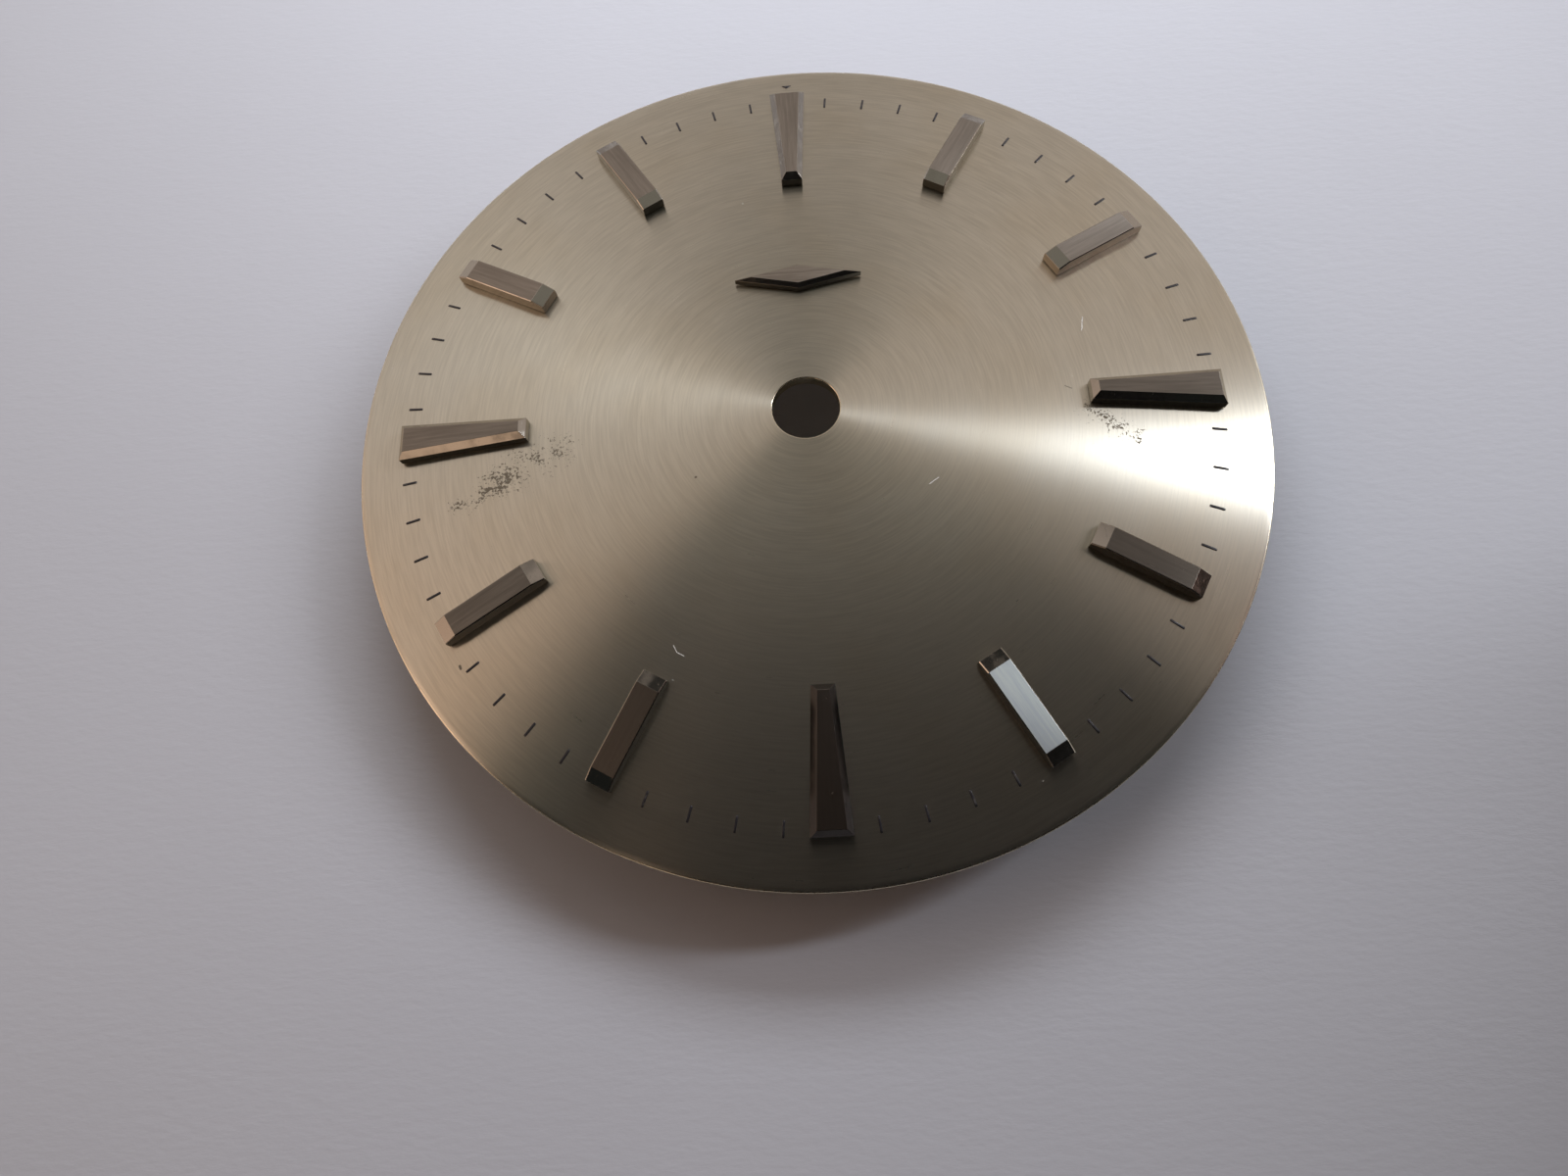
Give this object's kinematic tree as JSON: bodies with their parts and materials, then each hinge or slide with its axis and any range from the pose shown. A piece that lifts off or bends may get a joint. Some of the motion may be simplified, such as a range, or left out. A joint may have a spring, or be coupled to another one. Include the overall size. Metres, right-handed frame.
{
  "type": "watch dial",
  "caption": "Domed round wrist watch dial with riveted bar and wedge hour markers, printed minute strokes, a plain applied lozenge, a centre hole and brazed feet.",
  "frame": {"origin": "on the axis of the centre hole, halfway up its wall", "axes": "+Z the way the face looks, +Y towards 12 o'clock, +X towards 3 o'clock"},
  "size_m": [0.0295, 0.0294, 0.0035],
  "materials": {
    "dial_face": "silver-plated brass, brushed in circles",
    "marker": "brushed tops, polished slopes and sides",
    "ink": "thin black printed lacquer",
    "copper": "turned copper, lightly tarnished",
    "braze": "dull silver braze"
  },
  "bodies": {
    "root": {"dial_plate": "dial_face", "hour_marker_01": "marker", "hour_marker_02": "marker", "hour_marker_03": "marker", "hour_marker_04": "marker", "hour_marker_05": "marker", "hour_marker_06": "marker", "hour_marker_07": "marker", "hour_marker_08": "marker", "hour_marker_09": "marker", "hour_marker_10": "marker", "hour_marker_11": "marker", "hour_marker_12": "marker", "applied_lozenge": "marker", "minute_track": "ink", "dial_foot_a": "copper", "dial_foot_b": "copper", "braze_ring_a": "braze", "braze_ring_b": "braze"}
  },
  "joints": []
}
